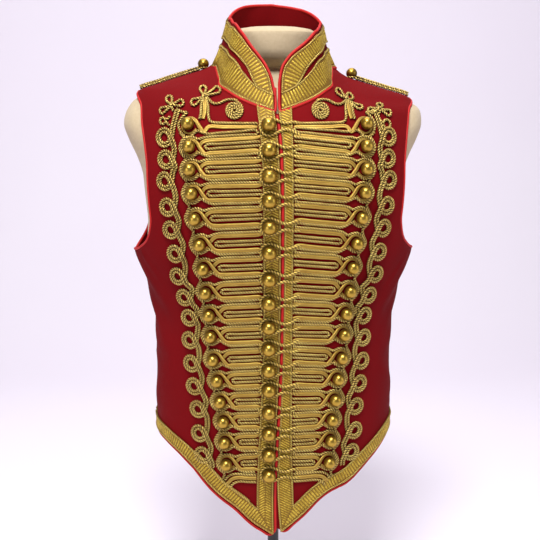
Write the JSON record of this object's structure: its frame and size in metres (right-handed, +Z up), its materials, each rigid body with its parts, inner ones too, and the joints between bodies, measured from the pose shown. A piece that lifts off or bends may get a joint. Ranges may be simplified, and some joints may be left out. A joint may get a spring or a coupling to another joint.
{
  "type": "hussar waistcoat on dress form",
  "caption": "Sleeveless red hussar waistcoat with a stand collar, rows of gold braid and ball buttons, shown on a limbless linen dress form with a short stand.",
  "frame": {"origin": "centre of the stand base's flat underside", "axes": "+Z up, the waistcoat's front faces -Y, +X to the wearer's left"},
  "size_m": [0.392, 0.3, 0.9014],
  "materials": {
    "wool": "matte fulled wool",
    "piping": "smooth cord piping",
    "braid": "gold metal-thread cord",
    "lace": "gold metal-thread flat lace",
    "brass": "domed brass, lightly aged",
    "linen": "plain linen over a moulded form",
    "steel": "black satin paint"
  },
  "bodies": {
    "root": {"front_right": "wool", "front_left": "wool", "back": "wool", "collar": "wool", "edging_front": "piping", "edging_right": "piping", "edging_left": "piping", "edging_back": "piping", "armhole_piping_right": "piping", "armhole_piping_left": "piping", "collar_piping": "piping", "braid_right": "braid", "braid_left": "braid", "scallop_cord_right": "braid", "scallop_cord_left": "braid", "curl_cord_right": "braid", "curl_cord_left": "braid", "trefoil_inner_right": "braid", "trefoil_inner_left": "braid", "trefoil_outer_right": "braid", "trefoil_outer_left": "braid", "rosette_right": "braid", "rosette_left": "braid", "shoulder_cord_right": "braid", "shoulder_cord_left": "braid", "lace_right": "lace", "lace_left": "lace", "lace_back": "lace", "collar_lace": "lace", "shoulder_button_right": "brass", "shoulder_button_left": "brass", "centre_button_01": "brass", "centre_button_02": "brass", "centre_button_03": "brass", "centre_button_04": "brass", "centre_button_05": "brass", "centre_button_06": "brass", "centre_button_07": "brass", "centre_button_08": "brass", "centre_button_09": "brass", "centre_button_10": "brass", "centre_button_11": "brass", "centre_button_12": "brass", "centre_button_13": "brass", "centre_button_14": "brass", "centre_button_15": "brass", "centre_button_16": "brass", "dress_form": "linen", "stand_pole": "steel", "stand_base": "steel"}
  },
  "joints": []
}
